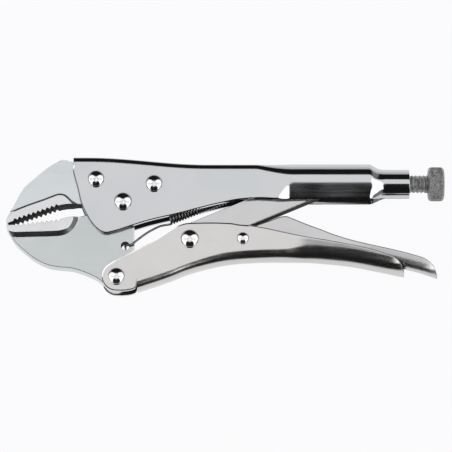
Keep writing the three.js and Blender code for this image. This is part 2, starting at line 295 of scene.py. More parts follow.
def shell(outer, inner, faces):
    """A closed sheet from matching outer and inner points and the outer faces."""
    count = len(outer)
    solid = list(faces) + [tuple(i + count for i in reversed(face)) for face in faces]
    rim_start = len(solid)
    edges = {}
    for face in faces:
        for a, b in zip(face, face[1:] + face[:1]):
            edges[(a, b)] = True
    for a, b in edges:
        if (b, a) not in edges:
            solid.append((b, a, a + count, b + count))
    return list(outer) + list(inner), solid, rim_start


def edge_rows(low, high, count):
    """Heights from a free edge at low to high, the first ones close together, and how far each is
    turned in."""
    rows = [low, low + 0.3 * EDGE_ROLL, low + 0.65 * EDGE_ROLL]
    rows += span(low + EDGE_ROLL, max(high, low + EDGE_ROLL + 0.02), count - 3)
    return [(y, EDGE_DROP * max(1 - (y - low) / EDGE_ROLL, 0.0) ** 2) for y in rows]


def inset_section(section, depth):
    """Moves a section's (y, z) points inwards, square to the section, by depth."""
    moved = []
    for i, (y, z) in enumerate(section):
        before = section[max(i - 1, 0)]
        after = section[min(i + 1, len(section) - 1)]
        dy, dz = after[0] - before[0], after[1] - before[1]
        length = math.hypot(dy, dz)
        moved.append((y - depth * dz / length, z + depth * dy / length))
    return moved


def extruded(name, outline, half):
    """A plate of the outline, from -half to half."""
    count = len(outline)
    points = [(x, y, half) for x, y in outline] + [(x, y, -half) for x, y in outline]
    faces = [tuple(range(count)), tuple(range(2 * count - 1, count - 1, -1))]
    for i in range(count):
        j = (i + 1) % count
        faces.append((i, i + count, j + count, j))
    return new_object(name, points, faces)


def turned(name, profile, sides=64):
    """A solid turned about the line through the origin along x, from (x, radius) pairs."""
    points, faces = [], []
    for x, radius in profile:
        for k in range(sides):
            angle = 2 * math.pi * k / sides
            points.append((x, radius * math.cos(angle), radius * math.sin(angle)))
    for i in range(len(profile) - 1):
        for k in range(sides):
            j = (k + 1) % sides
            faces.append((i * sides + k, i * sides + j, (i + 1) * sides + j, (i + 1) * sides + k))
    last = (len(profile) - 1) * sides
    faces.append(tuple(reversed(range(sides))))
    faces.append(tuple(range(last, last + sides)))
    return new_object(name, points, faces)


# ---------------------------------------------------------------- materials

class Nodes:
    """Short calls for building one material's nodes."""

    def __init__(self, name):
        self.material = bpy.data.materials.new(name)
        self.material.use_nodes = True
        self.tree = self.material.node_tree
        self.shader = self.tree.nodes["Principled BSDF"]
        self.place = self.add("ShaderNodeTexCoord").outputs["Object"]

    def add(self, kind, **settings):
        node = self.tree.nodes.new(kind)
        for key, value in settings.items():
            setattr(node, key, value)
        return node

    def link(self, source, target):
        self.tree.links.new(source, target)

    def noise(self, scale, detail=3.0, roughness=0.55, stretch=(1, 1, 1), distortion=0.0):
        mapping = self.add("ShaderNodeMapping")
        mapping.inputs["Scale"].default_value = stretch
        self.link(self.place, mapping.inputs["Vector"])
        noise = self.add("ShaderNodeTexNoise")
        noise.inputs["Scale"].default_value = scale
        noise.inputs["Detail"].default_value = detail
        noise.inputs["Roughness"].default_value = roughness
        noise.inputs["Distortion"].default_value = distortion
        self.link(mapping.outputs["Vector"], noise.inputs["Vector"])
        return noise.outputs["Fac"]

    def remap(self, value, low, high, to_low, to_high):
        node = self.add("ShaderNodeMapRange")
        for key, number in (("From Min", low), ("From Max", high), ("To Min", to_low), ("To Max", to_high)):
            node.inputs[key].default_value = number
        self.link(value, node.inputs["Value"])
        return node.outputs["Result"]

    def math(self, operation, a, b):
        node = self.add("ShaderNodeMath", operation=operation)
        for socket, value in zip(node.inputs, (a, b)):
            if isinstance(value, (int, float)):
                socket.default_value = value
            else:
                self.link(value, socket)
        return node.outputs["Value"]

    def mix(self, factor, a, b):
        node = self.add("ShaderNodeMix", data_type="RGBA")
        self.link(factor, node.inputs["Factor"])
        for socket, value in ((node.inputs[6], a), (node.inputs[7], b)):
            if isinstance(value, tuple):
                socket.default_value = (*value, 1.0)
            else:
                self.link(value, socket)
        return node.outputs[2]

    def bump(self, height, strength, distance, below=None):
        node = self.add("ShaderNodeBump")
        node.inputs["Strength"].default_value = strength
        node.inputs["Distance"].default_value = distance
        self.link(height, node.inputs["Height"])
        if below is not None:
            self.link(below, node.inputs["Normal"])
        return node.outputs["Normal"]


def plated_steel(name, colour, shade, rough_low, rough_high, scratch=0.12, ripple=0.05, grime=0.25):
    """Nickel-plated steel: faint cloudy tint, fine tumbling marks, scratches and dark specks."""
    n = Nodes(name)
    n.shader.inputs["Metallic"].default_value = 1.0
    cloud = n.noise(38, detail=2.5, distortion=0.4)
    tint = n.mix(n.remap(cloud, 0.35, 0.68, 0, 1), colour, shade)
    pores = n.noise(900, detail=2, roughness=0.7)
    specks = n.remap(pores, 0.66, 0.76, 0, grime)
    dark = tuple(0.45 * value for value in colour)
    n.link(n.mix(specks, tint, dark), n.shader.inputs["Base Color"])
    haze = n.noise(120, detail=4, stretch=(0.5, 1, 1))
    streak = n.noise(700, detail=3, stretch=(0.06, 1, 1))
    blend = n.math("ADD", n.math("MULTIPLY", haze, 0.6), n.math("MULTIPLY", streak, 0.4))
    n.link(n.remap(blend, 0.32, 0.68, rough_low, rough_high), n.shader.inputs["Roughness"])
    wave = n.bump(n.noise(26, detail=1), ripple, 0.002)
    fine = n.bump(streak, scratch, 0.00004, wave)
    grain = n.bump(pores, scratch * 0.8, 0.00003, fine)
    n.link(grain, n.shader.inputs["Normal"])
    return n.material


def dark_wire(name, dark, light):
    n = Nodes(name)
    n.shader.inputs["Metallic"].default_value = 1.0
    patch = n.noise(600, detail=4)
    n.link(n.mix(n.remap(patch, 0.4, 0.65, 0, 1), dark, light), n.shader.inputs["Base Color"])
    n.link(n.remap(patch, 0.3, 0.7, 0.25, 0.5), n.shader.inputs["Roughness"])
    n.link(n.bump(n.noise(2500, detail=2), 0.2, 0.00003), n.shader.inputs["Normal"])
    return n.material


def painted_shade_black(name, colour):
    """A dull black that reflects almost nothing: painted shade for gaps, holes and the insides of parts."""
    n = Nodes(name)
    n.shader.inputs["Base Color"].default_value = (*colour, 1)
    n.shader.inputs["Specular IOR Level"].default_value = 0.1
    n.link(n.remap(n.noise(900), 0.3, 0.7, 0.55, 0.8), n.shader.inputs["Roughness"])
    return n.material


def dull_steel(name):
    """Bare grey steel with a sandy finish, darker in its hollows."""
    n = Nodes(name)
    n.shader.inputs["Metallic"].default_value = 0.9
    patch = n.noise(420, detail=5, roughness=0.7)
    tint = n.mix(n.remap(patch, 0.36, 0.66, 0, 1), (0.17, 0.17, 0.168), (0.52, 0.52, 0.51))
    # Lighter on sharp ridges and edges, darker in hollows, from the mesh's pointiness.
    point = n.add("ShaderNodeNewGeometry").outputs["Pointiness"]
    ridge_lift = n.remap(point, 0.5, 0.58, 0, 0.6)
    n.link(n.mix(ridge_lift, tint, (0.52, 0.52, 0.51)), n.shader.inputs["Base Color"])
    n.link(n.remap(patch, 0.3, 0.7, 0.42, 0.62), n.shader.inputs["Roughness"])
    n.link(n.bump(n.noise(3000, detail=3), 0.5, 0.00006), n.shader.inputs["Normal"])
    return n.material


HANDLE_STEEL = plated_steel("handle_nickel", (0.60, 0.60, 0.612), (0.57, 0.583, 0.592), 0.06, 0.12)
LOWER_STEEL = plated_steel("lower_handle_nickel", (0.645, 0.63, 0.618), (0.615, 0.60, 0.59), 0.12, 0.22,
                           scratch=0.2, ripple=0.09)
UPPER_JAW_STEEL = plated_steel("upper_jaw_nickel", (0.65, 0.68, 0.69), (0.62, 0.652, 0.66), 0.18, 0.28,
                               scratch=0.25)
LOWER_JAW_STEEL = plated_steel("lower_jaw_nickel", (0.57, 0.592, 0.594), (0.53, 0.555, 0.558), 0.18, 0.28,
                               scratch=0.25)
PAD_STEEL = plated_steel("ground_pad", (0.72, 0.72, 0.724), (0.685, 0.685, 0.69), 0.18, 0.28, scratch=0.2)
LINK_STEEL = plated_steel("link_nickel", (0.61, 0.60, 0.604), (0.57, 0.565, 0.57), 0.18, 0.28, scratch=0.25)
RIVET_STEEL = plated_steel("rivet_chrome", (0.74, 0.74, 0.75), (0.70, 0.70, 0.71), 0.06, 0.12,
                           scratch=0.08, ripple=0.0, grime=0.1)
# Painted shade: black on the jaws' tooth faces, the edges beside the bite and the spring eye's walls, where
# the gap and hole lie in shadow.
BITE_PAINTED_SHADE = painted_shade_black("bite_painted_shade", (0.018, 0.018, 0.019))
# Painted shade: black on the sheets' inner faces and the toggle link's edge faces, where shadow falls
# inside and between parts.
PAINTED_SHADE_INSIDES_AND_EDGES = painted_shade_black("painted_shade_insides_and_edges", (0.03, 0.03, 0.032))
SPRING_STEEL = dark_wire("spring_wire", (0.16, 0.16, 0.17), (0.36, 0.35, 0.34))
SCREW_STEEL = dull_steel("screw_grey")


# ---------------------------------------------------------------- fixed handle

FIXED_LOWER = through([
    (54, -27.9), (58.7, -26.7), (67.6, -23.7), (76, -21.1), (91.7, -17.3), (102.2, -14.5),
    (112.7, -11.9), (123, -9.9), (133.6, -9.1), (146, -9.8), (156, -9.5), (192, -9.5), (213, -9.5),
])
FIXED_FRONT = rounded([
    (35.9, 8.6), (35.7, 5), (38, -3.7), (39.9, -11.5), (42.6, -17.6), (46.0, -23.2), (49.5, -26.6),
    (52.2, -27.8),
])


def fixed_swell(x):
    return smoothstep(x, FLAT_END, 156)


def fixed_top(x):
    return (13.0 - 3.85 * smoothstep(x, 44, 106) + 1.45 * smoothstep(x, 134, 152)
            - 2.9 * smoothstep(x, NECK_START, COLLAR_START))


def fixed_bend(x):
    """The fold's height and depth. In front it turns in softly and is tighter at the top."""
    swell = smoothstep(x, FLAT_END, 152)
    return 3.8 + 4.1 * swell, 1.1 + 6.8 * swell


def fixed_wall_half(x, y):
    """Half the outside width of the wall at a point. Below the crease, which climbs from the free
    edge at the front of the grip, the wall leans inwards."""
    lowest = FIXED_LOWER(x)
    crease = lowest + (GRIP_CREASE - lowest) * smoothstep(x, 140, 151)
    soft = 0.4
    under = soft * math.log1p(math.exp((crease - y) / soft)) * smoothstep(x, 138, 142)
    return FIXED_HALF + (GRIP_HALF - FIXED_HALF) * fixed_swell(x) - GRIP_LEAN * under


WALL_ROWS = 20
BEND_ROWS = 9


def fixed_section(x):
    """The outside of the fixed handle at x, from one free edge over the top to the other."""
    top = fixed_top(x)
    rise, depth = fixed_bend(x)
    shoulder = top - rise
    half = fixed_wall_half(x, shoulder)
    wall = [(y, fixed_wall_half(x, y) - drop) for y, drop in edge_rows(FIXED_LOWER(x), shoulder, WALL_ROWS)]
    bend = []
    for i in range(1, BEND_ROWS + 1):
        angle = math.pi / 2 * i / BEND_ROWS
        bend.append((shoulder + rise * math.sin(angle), half - depth + depth * math.cos(angle)))
    one_side = wall + bend
    section = [(y, -z) for y, z in one_side] + [(y, z) for y, z in reversed(one_side)]
    neck = smoothstep(x, NECK_START, COLLAR_START)
    if neck > 0:
        sweep = math.pi - SEAM_HALF_ANGLE
        for i, (y, z) in enumerate(section):
            angle = sweep * (2 * i / (len(section) - 1) - 1)
            ring = (COLLAR_RADIUS * math.cos(angle), COLLAR_HALF * math.sin(angle))
            section[i] = (y + (ring[0] - y) * neck, z + (ring[1] - z) * neck)
    return section


def make_fixed_handle():
    front = span(35.8, FLAT_END, 26)
    back = span(FLAT_END, 156, 34)[1:] + span(156, NECK_START, 10)[1:]
    back += span(NECK_START, COLLAR_START, 18)[1:]
    back += span(COLLAR_START, COLLAR_END - 0.3, 6)[1:] + [COLLAR_END]
    outer, inner, faces = [], [], []
    width = 2 * (WALL_ROWS + BEND_ROWS)

    def add(x, section, depth):
        """Adds a row of points across the sheet and gives their numbers."""
        first = len(outer)
        outer.extend((x, y, z) for y, z in section)
        inner.extend((x, y, z) for y, z in inset_section(section, depth))
        return list(range(first, first + len(section)))

    bend_only = slice(WALL_ROWS - 1, width - WALL_ROWS + 1)
    # In front only the fold is made of sections, and the flat sides are one face each.
    columns = [add(x, fixed_section(x)[bend_only], FIXED_SHEET) for x in front[:-1]]
    rear = []
    for x in [FLAT_END] + back:
        depth = FIXED_SHEET + (COLLAR_WALL - FIXED_SHEET) * smoothstep(x, NECK_START, COLLAR_START)
        rear.append(add(x, fixed_section(x), depth))
    columns.append(rear[0][bend_only])
    for strip in (columns, rear):
        for left, right in zip(strip, strip[1:]):
            for i in range(len(left) - 1):
                faces.append((left[i], left[i + 1], right[i + 1], right[i]))
    lower = [(x, FIXED_LOWER(x)) for x in span(54, FLAT_END, 34)[:-1]]
    border = FIXED_FRONT + lower
    for side in (-1, 1):
        first = len(outer)
        outer.extend((x, y, side * FIXED_HALF) for x, y in border)
        inner.extend((x, y, side * (FIXED_HALF - FIXED_SHEET)) for x, y in border)
        edge = list(range(first, first + len(border)))
        if side < 0:
            wall_column = rear[0][:WALL_ROWS]
            bend_line = [column[0] for column in columns[:-1]]
        else:
            wall_column = rear[0][:-WALL_ROWS - 1:-1]
            bend_line = [column[-1] for column in columns[:-1]]
        ring = edge + wall_column + list(reversed(bend_line))
        faces.append(tuple(ring if side > 0 else reversed(ring)))
    handle = roll_edges(new_object("fixed_handle_sheet", *shell(outer, inner, faces)), FIXED_HALF)
    soften(handle, SHEET_ROUNDING)
    add_piece(handle, "fixed_handle", "handle_plate", HANDLE_STEEL, "upper_handle")
    # The second material, on the inner faces, is black painted shade.
    handle.data.materials.append(PAINTED_SHADE_INSIDES_AND_EDGES)


# ---------------------------------------------------------------- moving handle

MOVING_FOLD = through([
    (66, -59.4), (69.7, -58.2), (86.5, -52.5), (97, -48.3), (107.4, -45.5), (117.9, -43.5),
    (128.4, -42.6), (142, -42.2), (157, -42.4), (170.3, -43.4), (180.8, -44.6), (191.3, -46.6),
    (210, -50.6),
])
MOVING_UPPER = through([
    (72, -35.2), (79.3, -31.2), (86.5, -26.4), (91.7, -23.6), (96.5, -22.5), (108, -22.3),
    (118.4, -22.6), (122, -23.3), (129.2, -23.9), (135.7, -25.0), (145.9, -27.4), (156.2, -29.8),
    (170.8, -32.4), (191.3, -36.7), (201, -40.2), (204.6, -42.6), (207.3, -45.8), (208.7, -49.3),
])


def moving_half(x):
    return MOVING_HALF + (GRIP_HALF - MOVING_HALF) * smoothstep(x, 130, 166)


def moving_lean(x):
    return 0.17 * smoothstep(x, 144, 159)


def moving_bend(x):
    return 5.2 + 1.3 * smoothstep(x, 95, 118) + 1.4 * smoothstep(x, 143, 165)


def cupped_section(fold, upper, half, bend, lean, wall_rows, bend_rows):
    """The outside of a channel that opens upwards, from one free edge down and round to the other.
    Its walls lean in towards the fold."""
    bend = min(bend, half - 0.05)
    depth = max(upper - fold, 0.15)
    end_angle = math.acos(max(1 - depth / bend, 0.0)) if depth < bend else math.pi / 2
    arc_top = bend * (1 - math.cos(end_angle))
    one_side = []
    for i in range(bend_rows + 1):
        angle = end_angle * i / bend_rows
        one_side.append((fold + bend * (1 - math.cos(angle)), half - bend + bend * math.sin(angle)))
    shoulder_z = one_side[bend_rows][1]
    edge = max(upper, fold + arc_top + EDGE_ROLL + 0.05)
    for y, drop in reversed(edge_rows(-edge, -(fold + arc_top), wall_rows)[:-1]):
        one_side.append((-y, shoulder_z - drop))
    one_side = [(y, z * (1 - lean * (upper - y) / half)) for y, z in one_side]
    return [(y, z) for y, z in reversed(one_side)] + [(y, -z) for y, z in one_side]


def channel_columns(stations, section_at, sheet, outer, inner):
    columns = []
    for x in stations:
        section = section_at(x)
        first = len(outer)
        outer.extend((x, y, z) for y, z in section)
        inner.extend((x, y, z) for y, z in inset_section(section, sheet))
        columns.append(list(range(first, first + len(section))))
    return columns


def grid_faces(columns, rows=slice(None)):
    faces = []
    for left, right in zip(columns, columns[1:]):
        a, b = left[rows], right[rows]
        faces += [(a[i], a[i + 1], b[i + 1], b[i]) for i in range(len(a) - 1)]
    return faces


def make_moving_handle():
    """Made like the fixed handle: sections at the grip, and in front the fold with flat sides."""
    walls, bends = 9, 12
    web_start, flat_end = 69.7, 129.0

    def section_at(x):
        fold, upper = MOVING_FOLD(x), MOVING_UPPER(x)
        return cupped_section(fold, upper, moving_half(x), moving_bend(x), moving_lean(x), walls, bends)

    outer, inner = [], []
    front = span(web_start, flat_end, 25)
    back = span(flat_end, 164, 26) + span(164, 200, 15)[1:] + span(200, 208.7, 14)[1:]
    rear = channel_columns(back, section_at, MOVING_SHEET, outer, inner)
    bend_only = slice(walls - 1, walls + 2 * bends + 1)
    columns = channel_columns(front[:-1], lambda x: section_at(x)[bend_only], MOVING_SHEET, outer, inner)
    columns.append(rear[0][bend_only])
    faces = grid_faces(columns) + grid_faces(rear)
    nose = arc(HANDLE_PIVOT, 7.6, 122, 272, 20)
    upper = [(x, MOVING_UPPER(x)) for x in span(75, flat_end, 36)[:-1]]
    border = list(reversed(upper)) + rounded([(72, -35.2), (66.4, -38.2), (61.2, -40.9), (57.4, -42.9)], 3)
    border += nose[1:] + rounded([(61.5, -58.9), (65.4, -58.5), (68.2, -57.6), (69.2, -56.4)], 3)
    for side in (-1, 1):
        first = len(outer)
        outer.extend((x, y, side * MOVING_HALF) for x, y in border)
        inner.extend((x, y, side * (MOVING_HALF - MOVING_SHEET)) for x, y in border)
        edge = list(range(first, first + len(border)))
        if side > 0:
            wall_column = list(reversed(rear[0][:walls]))
            bend_line = [column[0] for column in columns[:-1]]
        else:
            wall_column = rear[0][-walls:]
            bend_line = [column[-1] for column in columns[:-1]]
        ring = edge + bend_line + wall_column
        faces.append(tuple(ring if side > 0 else reversed(ring)))
    handle = roll_edges(new_object("moving_handle_sheet", *shell(outer, inner, faces)), MOVING_HALF)
    soften(handle, SHEET_ROUNDING)
    add_piece(handle, "moving_handle", "handle_plate", LOWER_STEEL, "lower_handle")
    # The second material, on the inner faces, is black painted shade.
    handle.data.materials.append(PAINTED_SHADE_INSIDES_AND_EDGES)


# ---------------------------------------------------------------- release lever

LEVER_FOLD = through([
    (113, -35.7), (124, -36.2), (142, -37.3), (157, -37.6), (175, -38.9), (192, -42), (209, -45.9),
    (219, -48.6), (226.2, -51.2),
])
LEVER_UPPER = through([
    (114.6, -32.6), (116, -31.0), (118, -29.8), (124, -27.0), (128.4, -24.6), (140, -20.2),
    (144.6, -18.5), (147.2, -18.2), (150, -19.2), (158, -22.6), (166.2, -25.8), (171, -27.8),
    (180.8, -31), (191.3, -33.6), (202.3, -36.1), (213, -38.9), (218.5, -40.6), (222, -42.8),
    (224.4, -46.2), (226.0, -50.6),
])


def lever_half(x):
    return LEVER_HALF + (LEVER_TAIL_HALF - LEVER_HALF) * smoothstep(x, 150, 170)


def make_release_lever():
    def section_at(x):
        bend = 2.8 + 2.1 * smoothstep(x, 150, 185)
        lean = 0.14 * smoothstep(x, 165, 195)
        return cupped_section(LEVER_FOLD(x), LEVER_UPPER(x), lever_half(x), bend, lean, 8, 10)

    outer, inner = [], []
    stations = span(114.6, 150, 26) + span(150, 214, 24)[1:] + span(214, 226, 18)[1:]
    columns = channel_columns(stations, section_at, LEVER_SHEET, outer, inner)
    lever = new_object("release_lever_sheet", *shell(outer, inner, grid_faces(columns)))
    soften(lever, 0.2)
    add_piece(lever, "release", "lever_steel", LINK_STEEL, "release_lever")
    # The second material, on the inner faces, is black painted shade.
    lever.data.materials.append(PAINTED_SHADE_INSIDES_AND_EDGES)


# ---------------------------------------------------------------- jaws

def teeth(start, end, depth):
    """A saw-toothed line: tips on the line, roots to its left by depth. Tips and roots are blunt."""
    dx, dy = (end[0] - start[0]) / TOOTH_COUNT, (end[1] - start[1]) / TOOTH_COUNT
    pitch = math.hypot(dx, dy)
    nx, ny = -dy / pitch, dx / pitch
    line = []
    for i in range(TOOTH_COUNT):
        for along, into in ((0.06, 0.0), (0.44, 1.0), (0.56, 1.0), (0.94, 0.0)):
            x = start[0] + dx * (i + along) + nx * depth * into
            y = start[1] + dy * (i + along) + ny * depth * into
            line.append((x, y))
    return line


def offset_line(line, distance):
    """The open line moved to its left by distance."""
    moved = []
    for i, (x, y) in enumerate(line):
        before, after = line[max(i - 1, 0)], line[min(i + 1, len(line) - 1)]
        dx, dy = after[0] - before[0], after[1] - before[1]
        length = math.hypot(dx, dy)
        moved.append((x - distance * dy / length, y + distance * dx / length))
    return moved


def mark_jaw_faces(jaw, steel, bite):
    """Gives the ground pads their own finish, and the edge faces close to the bite's points black painted
    shade.
    """
    for material in (steel, PAD_STEEL, BITE_PAINTED_SHADE):
        jaw.data.materials.append(material)
    tips = [place(*point) for point in bite]
    for face in jaw.data.polygons:
        if abs(face.normal.z) > 0.9 and abs(abs(face.center.z - ORIGIN.z) - PAD_HALF * MM) < 1e-6:
            face.material_index = 1
        elif abs(face.normal.z) < 0.1:
            nearest = min((face.center.xy - tip.xy).length for tip in tips)
            if nearest < BITE_REACH * MM:
                face.material_index = 2


def jaw_mesh(name, pad_edge, ridge, foot, rest):
    """A plate with a raised pad on each face. pad_edge is the outline's part at the pad, ridge the
    pad's border across the plate, from the end of pad_edge to its start, foot the ramp's foot beside
    it, whose ends lie on the outline, and rest the remaining outline, from foot's start to its end."""
    points, faces = [], []
    for side in (1, -1):
        base = len(points)
        points += [(x, y, side * PAD_HALF) for x, y in pad_edge + ridge]
        points += [(x, y, side * JAW_HALF) for x, y in foot + rest]
        edge_count, ridge_count, foot_count, rest_count = map(len, (pad_edge, ridge, foot, rest))
        pad = list(range(base, base + edge_count + ridge_count))
        foot_start = base + edge_count + ridge_count
        feet = list(range(foot_start, foot_start + foot_count))
        others = list(range(foot_start + foot_count, foot_start + foot_count + rest_count))
        top = [pad[edge_count - 1]] + pad[edge_count:] + [pad[0]]
        sheets = [tuple(pad), tuple(others + list(reversed(feet)))]
        sheets += [(top[i], feet[i], feet[i + 1], top[i + 1]) for i in range(foot_count - 1)]
        faces += sheets
    half = len(points) // 2
    loop = list(range(edge_count)) + [edge_count + ridge_count]
    loop += list(range(edge_count + ridge_count + foot_count, half))
    loop += [edge_count + ridge_count + foot_count - 1]
    for a, b in zip(loop, loop[1:] + loop[:1]):
        faces.append((a, a + half, b + half, b))
    return new_object(name, points, faces)


def make_upper_jaw():
    bite = teeth((4.4, -21.4), (28.4, -13.0), TOOTH_DEPTH)
    pad_edge = [(1.15, -19.9), (0.75, -21.3), (1.1, -22.2), (2.0, -22.3)] + bite
    pad_edge += rounded([(29.6, -12.6), (32.4, -12.15), (35.3, -12.0)], 2)
    ridge = rounded([
        (34.2, -10.9), (32.4, -9.0), (31.0, -7.9), (29.2, -7.4), (26.6, -7.9), (20.4, -10.4),
        (12, -13.4), (4.4, -16.6),
    ], 2)
    start, end = (38.0, -12.0), (2.75, -16.2)
    middle = offset_line([pad_edge[-1]] + ridge + [pad_edge[0]], -RAMP_WIDTH * 0.55)[1:-1]
    foot = [start] + middle + [end]
    rest = [(50.5, -12.2)] + arc(JAW_PIVOT, JAW_HUB + 0.6, 176, 12, 14)
    rest += [(80, -8.4), (85, -4.6), (85.5, -3.6), (85.5, 4.8), (84.6, 5.8), (72, 7.4), (60, 9.2)]
    rest += [(46, 10.3), (37.5, 10.4)]
    rest += rounded([
        (34.6, 10.9), (32.6, 11.8), (30.6, 12.15), (28.6, 11.7), (22.8, 8.3), (16.5, 3.4),
        (9.4, -3.2), (5.6, -9.8), (3.6, -14.0),
    ], 3)
    jaw = jaw_mesh("upper_jaw_forging", pad_edge, ridge, foot, rest)
    # Edge faces beside the bite take the black painted shade as well.
    beside_bite = pad_edge[-4:] + [(3.1, -21.9), (36.6, -12.0), (44.2, -12.1)]
    mark_jaw_faces(jaw, UPPER_JAW_STEEL, bite + beside_bite)
    roll_edges(jaw, JAW_HALF)
    soften(jaw, 0.22, angle=32)
    add_piece(jaw, "fixed_handle", "jaw_steel", None, "upper_jaw")


def make_lower_jaw():
    bite = teeth((29.4, -20.2), (4.9, -23.3), TOOTH_DEPTH)
    pad_edge = rounded([(36.0, -18.9), (34.4, -19.0), (31.8, -19.5)], 2) + bite
    pad_edge += [(2.4, -23.5), (1.4, -23.4), (0.9, -24.2), (1.3, -25.2), (1.9, -26.3)]
    ridge = rounded([
        (5.1, -27.3), (12, -27.1), (20, -26.9), (27.6, -26.6), (30.6, -26.0), (33.2, -24.8),
        (34.9, -22.6), (35.8, -20.4),
    ], 2)
    start, end = (3.2, -28.6), (38.2, -18.6)
    middle = offset_line([pad_edge[-1]] + ridge + [pad_edge[0]], -RAMP_WIDTH)[1:-1]
    foot = [start] + middle + [end]
    rest = rounded([
        (4.1, -30.2), (6.2, -33), (10.4, -36.9), (16.5, -41.6), (22.8, -44.6), (29.1, -45.8),
        (35.5, -46.4), (41.8, -48.4), (48.2, -51.3), (51.5, -53.9),
    ], 3)
    rest += arc(HANDLE_PIVOT, 7.2, 207, 372, 18)
    rest += [(67.9, -44.5), (67.9, -18.6)]
    rest += arc(JAW_PIVOT, JAW_HUB, -44, 212, 24)
    rest += rounded([(52.4, -15.9), (48, -16.7), (43, -17.7), (40.4, -18.3)], 2)
    jaw = jaw_mesh("lower_jaw_forging", pad_edge, ridge, foot, rest)
    mark_jaw_faces(jaw, LOWER_JAW_STEEL, bite)
    roll_edges(jaw, JAW_HALF)
    soften(jaw, 0.22, angle=32)
    apply_modifiers(jaw)
    eye = [(-JAW_HALF - 0.6, EYE_RADIUS + 0.9), (-JAW_HALF + 0.3, EYE_RADIUS), (JAW_HALF - 0.3, EYE_RADIUS),
           (JAW_HALF + 0.6, EYE_RADIUS + 0.9)]
    cutter = turned("eye_cutter", eye, 32)
    cutter.data.transform(turn_to_z(SPRING_EYE))
    cut = jaw.modifiers.new("eye", "BOOLEAN")
    cut.operation = "DIFFERENCE"
    cut.object = cutter
    cut.solver = "EXACT"
    apply_modifiers(jaw)
    bpy.data.objects.remove(cutter)
    eye_centre = place(*SPRING_EYE)
    # The eye's walls take the black painted shade of the bite material, for the shade inside the hole.
    for face in jaw.data.polygons:
        if abs(face.normal.z) < 0.9 and (face.center.xy - eye_centre.xy).length < (EYE_RADIUS + 0.6) * MM:
            face.material_index = 2
    smooth_by_angle(jaw, 35)
    add_piece(jaw, "moving_jaw", "jaw_steel", None, "lower_jaw")


def turn_to_z(centre):
    """Turns a piece made round the screw's axis so that it stands on the side plane at centre."""
    there = Matrix.Translation(place(*centre))
    back = Matrix.Translation(-place(0, 0))
    return there @ Matrix.Rotation(-math.pi / 2, 4, "Y") @ back


def smooth_by_angle(obj, degrees):
    for polygon in obj.data.polygons:
        polygon.use_smooth = True
    obj.data.set_sharp_from_angle(angle=math.radians(degrees))
    normals = obj.modifiers.new("normals", "WEIGHTED_NORMAL")
    normals.keep_sharp = True


# ---------------------------------------------------------------- toggle link

def make_toggle_link():
    """The link's outline is drawn along x from its pivot and then turned towards the screw's tip."""
    dx, dy = LINK_END[0] - LINK_PIVOT[0], LINK_END[1] - LINK_PIVOT[1]
    length = math.hypot(dx, dy)
    ux, uy = dx / length, dy / length
    outline = arc((0, 0), LINK_HUB, 90, 318, 26)
    outline += [(12, -LINK_LOWER)]
    outline += [(length - 6, -LINK_LOWER)] + arc((length, 0), LINK_END_RADIUS, -88, 88, 16)
    outline += rounded([(length * 0.8, 6.3), (length * 0.62, 8.1), (length * 0.5, LINK_HUB)], 3)
    in_place = [
        (LINK_PIVOT[0] + x * ux - y * uy, LINK_PIVOT[1] + x * uy + y * ux) for x, y in outline
    ]
    link = roll_edges(extruded("toggle_link_bar", in_place, LINK_HALF), LINK_HALF)
    # The edge faces take the second material, black painted shade for the dark lines along the link's
    # edges.
    for face in link.data.polygons:
        face.material_index = int(abs(face.normal.z) < 0.5)
    soften(link, 0.25, angle=45)
    add_piece(link, "toggle", "link_steel", LINK_STEEL, "toggle_link")
    link.data.materials.append(PAINTED_SHADE_INSIDES_AND_EDGES)


# ---------------------------------------------------------------- rivets

DOME_TILT = math.sin(math.radians(20))  # sine of the slope of a head's dome at its rim
RIM_SHARE = 0.62  # height at the rim, as a share of a head's full height
RIVET_SIDES = 72
DOME_RINGS = 18
SHANK_SHARE = 0.62  # a shank's radius as a share of its head's


def ring_points(centre, radius, height_at):
    """Points round a circle on the side plane. height_at gives each one's z from its angle."""
    angles = [2 * math.pi * k / RIVET_SIDES for k in range(RIVET_SIDES)]
    return [
        (centre[0] + radius * math.cos(angle), centre[1] + radius * math.sin(angle), height_at(angle))
        for angle in angles
    ]


def peened_rivet(name, node, radius, height, wall_half):
    """A shank with a low dome at each end, each left faintly four-lobed by the peening tool."""
    centre = centre_of(node)
    seat = wall_half + 0.1
    sphere = radius / DOME_TILT
    sunk = sphere * math.sqrt(1 - DOME_TILT ** 2)

    def head_height(share, angle):
        if share == 1:
            return seat
        lobe = 0.5 - 0.5 * math.cos(4 * angle)
        rim = height * (RIM_SHARE - 0.2 * smoothstep(share, 0.88, 1.0))
        dome = sphere * math.sqrt(1 - (DOME_TILT * share) ** 2) - sunk
        return seat + rim + dome + 0.07 * radius * (lobe - 0.35) * share * (1 - share ** 3)

    points, faces, shanks = [], [], []
    for side in (1, -1):
        base = len(points)
        points.append((*centre, side * (seat + height * RIM_SHARE + sphere - sunk)))
        for r in range(1, DOME_RINGS + 1):
            share = r / DOME_RINGS
            points += ring_points(centre, radius * share, lambda angle: side * head_height(share, angle))
        shank = len(points)
        shanks.append(shank)
        points += ring_points(centre, SHANK_SHARE * radius, lambda angle: side * seat)
        for k in range(RIVET_SIDES):
            j = (k + 1) % RIVET_SIDES
            faces.append((base, base + 1 + k, base + 1 + j))
            for low in range(base + 1, shank, RIVET_SIDES):
                high = low + RIVET_SIDES
                faces.append((low + k, high + k, high + j, low + j))
    for k in range(RIVET_SIDES):
        j = (k + 1) % RIVET_SIDES
        faces.append((shanks[0] + k, shanks[1] + k, shanks[1] + j, shanks[0] + j))
    rivet = new_object(name, points, faces)
    smooth_by_angle(rivet, 48)
    return rivet


